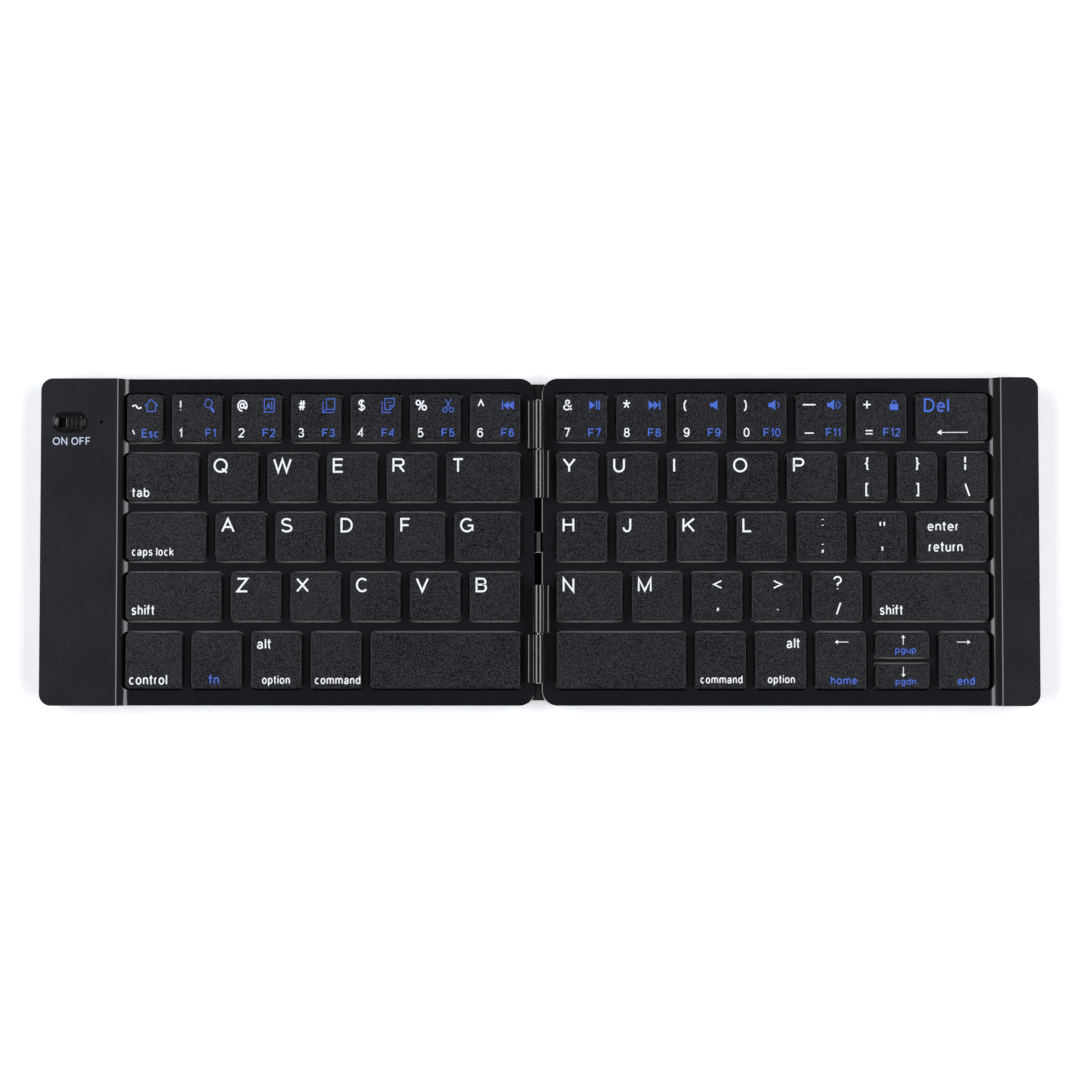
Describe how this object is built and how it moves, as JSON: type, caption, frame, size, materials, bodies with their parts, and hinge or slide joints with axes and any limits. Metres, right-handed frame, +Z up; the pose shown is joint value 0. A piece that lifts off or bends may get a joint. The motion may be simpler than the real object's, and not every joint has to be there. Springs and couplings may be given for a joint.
{
  "type": "folding keyboard",
  "caption": "Pocket keyboard in two halves on pinned hinges, folding flat key to key, with raised end wings, travelling keys and a sliding power switch.",
  "frame": {"origin": "on the surface that the open keyboard stands on, under the middle of the hinge line", "axes": "+X to the right along the rows of keys, +Y to the back (the number row), +Z up"},
  "size_m": [0.25, 0.0822, 0.0097],
  "materials": {
    "shell": "fine satin moulded plastic, near black",
    "wing": "fine-grained matte plastic, very dark grey",
    "cap": "fine-grained matte key caps, dark grey, with printed legends",
    "knob": "satin plastic with ridges",
    "hinge": "gloss black painted steel",
    "plate": "plain stamped steel",
    "screw": "bright machined steel",
    "socket": "bright folded steel shell",
    "foot": "matte black rubber",
    "seal": "brown-grey rubber",
    "cable": "flexible printed cable, brown-grey",
    "film": "printed polyester film",
    "dome": "milky silicone rubber",
    "link": "natural acetal",
    "board": "green circuit board",
    "battery": "foil pouch"
  },
  "bodies": {
    "left_half": {"left_base_tray": "shell", "left_key_frame": "shell", "left_end_cover": "wing", "left_support_plate": "plate", "left_membrane": "film", "left_dome_sheet": "dome", "left_scissor_links": "link", "left_screws": "screw", "left_feet": "foot", "left_hinge_leaves": "hinge", "hinge_pins": "screw", "gap_seals": "seal", "flex_cable": "cable", "battery": "battery", "main_board": "board", "usb_socket": "socket"},
    "right_half": {"right_base_tray": "shell", "right_key_frame": "shell", "right_end_cover": "wing", "right_support_plate": "plate", "right_membrane": "film", "right_dome_sheet": "dome", "right_scissor_links": "link", "right_screws": "screw", "right_feet": "foot", "right_hinge_leaves": "hinge"},
    "power_slider": {"power_slider": "knob"},
    "left_space_key": {"left_space_key": "cap"},
    "left_number_keys": {"left_number_keys": "cap"},
    "left_control_keys": {"left_control_keys": "cap"},
    "key_a": {"key_a": "cap"},
    "key_b": {"key_b": "cap"},
    "key_c": {"key_c": "cap"},
    "key_d": {"key_d": "cap"},
    "key_e": {"key_e": "cap"},
    "key_f": {"key_f": "cap"},
    "key_g": {"key_g": "cap"},
    "key_q": {"key_q": "cap"},
    "key_r": {"key_r": "cap"},
    "key_s": {"key_s": "cap"},
    "key_t": {"key_t": "cap"},
    "key_v": {"key_v": "cap"},
    "key_w": {"key_w": "cap"},
    "key_x": {"key_x": "cap"},
    "key_z": {"key_z": "cap"},
    "right_space_key": {"right_space_key": "cap"},
    "right_number_keys": {"right_number_keys": "cap"},
    "right_symbol_keys": {"right_symbol_keys": "cap"},
    "right_control_keys": {"right_control_keys": "cap"},
    "key_h": {"key_h": "cap"},
    "key_i": {"key_i": "cap"},
    "key_j": {"key_j": "cap"},
    "key_k": {"key_k": "cap"},
    "key_l": {"key_l": "cap"},
    "key_m": {"key_m": "cap"},
    "key_n": {"key_n": "cap"},
    "key_o": {"key_o": "cap"},
    "key_p": {"key_p": "cap"},
    "key_u": {"key_u": "cap"},
    "key_y": {"key_y": "cap"}
  },
  "joints": [
    {"name": "fold", "type": "hinge", "parent": "left_half", "child": "right_half", "pos_m": [0, 0, 0.0084], "axis": [0, -1, 0], "range_deg": [0, 180], "deforming": ["flex_cable"]},
    {"name": "power_switch", "type": "slide", "parent": "left_half", "child": "power_slider", "axis": [-1, 0, 0], "range_m": [0, 0.0018]},
    {"name": "left_space_key", "type": "slide", "parent": "left_half", "child": "left_space_key", "axis": [0, 0, -1], "range_m": [0, 0.0012], "stiffness_N_per_m": 450, "deforming": ["left_dome_sheet", "left_scissor_links"]},
    {"name": "left_number_keys", "type": "slide", "parent": "left_half", "child": "left_number_keys", "axis": [0, 0, -1], "range_m": [0, 0.0012], "stiffness_N_per_m": 3150, "deforming": ["left_dome_sheet", "left_scissor_links"]},
    {"name": "left_control_keys", "type": "slide", "parent": "left_half", "child": "left_control_keys", "axis": [0, 0, -1], "range_m": [0, 0.0012], "stiffness_N_per_m": 3150, "deforming": ["left_dome_sheet", "left_scissor_links"]},
    {"name": "key_a", "type": "slide", "parent": "left_half", "child": "key_a", "axis": [0, 0, -1], "range_m": [0, 0.0012], "stiffness_N_per_m": 450, "deforming": ["left_dome_sheet", "left_scissor_links"]},
    {"name": "key_b", "type": "slide", "parent": "left_half", "child": "key_b", "axis": [0, 0, -1], "range_m": [0, 0.0012], "stiffness_N_per_m": 450, "deforming": ["left_dome_sheet", "left_scissor_links"]},
    {"name": "key_c", "type": "slide", "parent": "left_half", "child": "key_c", "axis": [0, 0, -1], "range_m": [0, 0.0012], "stiffness_N_per_m": 450, "deforming": ["left_dome_sheet", "left_scissor_links"]},
    {"name": "key_d", "type": "slide", "parent": "left_half", "child": "key_d", "axis": [0, 0, -1], "range_m": [0, 0.0012], "stiffness_N_per_m": 450, "deforming": ["left_dome_sheet", "left_scissor_links"]},
    {"name": "key_e", "type": "slide", "parent": "left_half", "child": "key_e", "axis": [0, 0, -1], "range_m": [0, 0.0012], "stiffness_N_per_m": 450, "deforming": ["left_dome_sheet", "left_scissor_links"]},
    {"name": "key_f", "type": "slide", "parent": "left_half", "child": "key_f", "axis": [0, 0, -1], "range_m": [0, 0.0012], "stiffness_N_per_m": 450, "deforming": ["left_dome_sheet", "left_scissor_links"]},
    {"name": "key_g", "type": "slide", "parent": "left_half", "child": "key_g", "axis": [0, 0, -1], "range_m": [0, 0.0012], "stiffness_N_per_m": 450, "deforming": ["left_dome_sheet", "left_scissor_links"]},
    {"name": "key_q", "type": "slide", "parent": "left_half", "child": "key_q", "axis": [0, 0, -1], "range_m": [0, 0.0012], "stiffness_N_per_m": 450, "deforming": ["left_dome_sheet", "left_scissor_links"]},
    {"name": "key_r", "type": "slide", "parent": "left_half", "child": "key_r", "axis": [0, 0, -1], "range_m": [0, 0.0012], "stiffness_N_per_m": 450, "deforming": ["left_dome_sheet", "left_scissor_links"]},
    {"name": "key_s", "type": "slide", "parent": "left_half", "child": "key_s", "axis": [0, 0, -1], "range_m": [0, 0.0012], "stiffness_N_per_m": 450, "deforming": ["left_dome_sheet", "left_scissor_links"]},
    {"name": "key_t", "type": "slide", "parent": "left_half", "child": "key_t", "axis": [0, 0, -1], "range_m": [0, 0.0012], "stiffness_N_per_m": 450, "deforming": ["left_dome_sheet", "left_scissor_links"]},
    {"name": "key_v", "type": "slide", "parent": "left_half", "child": "key_v", "axis": [0, 0, -1], "range_m": [0, 0.0012], "stiffness_N_per_m": 450, "deforming": ["left_dome_sheet", "left_scissor_links"]},
    {"name": "key_w", "type": "slide", "parent": "left_half", "child": "key_w", "axis": [0, 0, -1], "range_m": [0, 0.0012], "stiffness_N_per_m": 450, "deforming": ["left_dome_sheet", "left_scissor_links"]},
    {"name": "key_x", "type": "slide", "parent": "left_half", "child": "key_x", "axis": [0, 0, -1], "range_m": [0, 0.0012], "stiffness_N_per_m": 450, "deforming": ["left_dome_sheet", "left_scissor_links"]},
    {"name": "key_z", "type": "slide", "parent": "left_half", "child": "key_z", "axis": [0, 0, -1], "range_m": [0, 0.0012], "stiffness_N_per_m": 450, "deforming": ["left_dome_sheet", "left_scissor_links"]},
    {"name": "right_space_key", "type": "slide", "parent": "right_half", "child": "right_space_key", "axis": [0, 0, -1], "range_m": [0, 0.0012], "stiffness_N_per_m": 450, "deforming": ["right_dome_sheet", "right_scissor_links"]},
    {"name": "right_number_keys", "type": "slide", "parent": "right_half", "child": "right_number_keys", "axis": [0, 0, -1], "range_m": [0, 0.0012], "stiffness_N_per_m": 3150, "deforming": ["right_dome_sheet", "right_scissor_links"]},
    {"name": "right_symbol_keys", "type": "slide", "parent": "right_half", "child": "right_symbol_keys", "axis": [0, 0, -1], "range_m": [0, 0.0012], "stiffness_N_per_m": 3600, "deforming": ["right_dome_sheet", "right_scissor_links"]},
    {"name": "right_control_keys", "type": "slide", "parent": "right_half", "child": "right_control_keys", "axis": [0, 0, -1], "range_m": [0, 0.0012], "stiffness_N_per_m": 3600, "deforming": ["right_dome_sheet", "right_scissor_links"]},
    {"name": "key_h", "type": "slide", "parent": "right_half", "child": "key_h", "axis": [0, 0, -1], "range_m": [0, 0.0012], "stiffness_N_per_m": 450, "deforming": ["right_dome_sheet", "right_scissor_links"]},
    {"name": "key_i", "type": "slide", "parent": "right_half", "child": "key_i", "axis": [0, 0, -1], "range_m": [0, 0.0012], "stiffness_N_per_m": 450, "deforming": ["right_dome_sheet", "right_scissor_links"]},
    {"name": "key_j", "type": "slide", "parent": "right_half", "child": "key_j", "axis": [0, 0, -1], "range_m": [0, 0.0012], "stiffness_N_per_m": 450, "deforming": ["right_dome_sheet", "right_scissor_links"]},
    {"name": "key_k", "type": "slide", "parent": "right_half", "child": "key_k", "axis": [0, 0, -1], "range_m": [0, 0.0012], "stiffness_N_per_m": 450, "deforming": ["right_dome_sheet", "right_scissor_links"]},
    {"name": "key_l", "type": "slide", "parent": "right_half", "child": "key_l", "axis": [0, 0, -1], "range_m": [0, 0.0012], "stiffness_N_per_m": 450, "deforming": ["right_dome_sheet", "right_scissor_links"]},
    {"name": "key_m", "type": "slide", "parent": "right_half", "child": "key_m", "axis": [0, 0, -1], "range_m": [0, 0.0012], "stiffness_N_per_m": 450, "deforming": ["right_dome_sheet", "right_scissor_links"]},
    {"name": "key_n", "type": "slide", "parent": "right_half", "child": "key_n", "axis": [0, 0, -1], "range_m": [0, 0.0012], "stiffness_N_per_m": 450, "deforming": ["right_dome_sheet", "right_scissor_links"]},
    {"name": "key_o", "type": "slide", "parent": "right_half", "child": "key_o", "axis": [0, 0, -1], "range_m": [0, 0.0012], "stiffness_N_per_m": 450, "deforming": ["right_dome_sheet", "right_scissor_links"]},
    {"name": "key_p", "type": "slide", "parent": "right_half", "child": "key_p", "axis": [0, 0, -1], "range_m": [0, 0.0012], "stiffness_N_per_m": 450, "deforming": ["right_dome_sheet", "right_scissor_links"]},
    {"name": "key_u", "type": "slide", "parent": "right_half", "child": "key_u", "axis": [0, 0, -1], "range_m": [0, 0.0012], "stiffness_N_per_m": 450, "deforming": ["right_dome_sheet", "right_scissor_links"]},
    {"name": "key_y", "type": "slide", "parent": "right_half", "child": "key_y", "axis": [0, 0, -1], "range_m": [0, 0.0012], "stiffness_N_per_m": 450, "deforming": ["right_dome_sheet", "right_scissor_links"]}
  ]
}
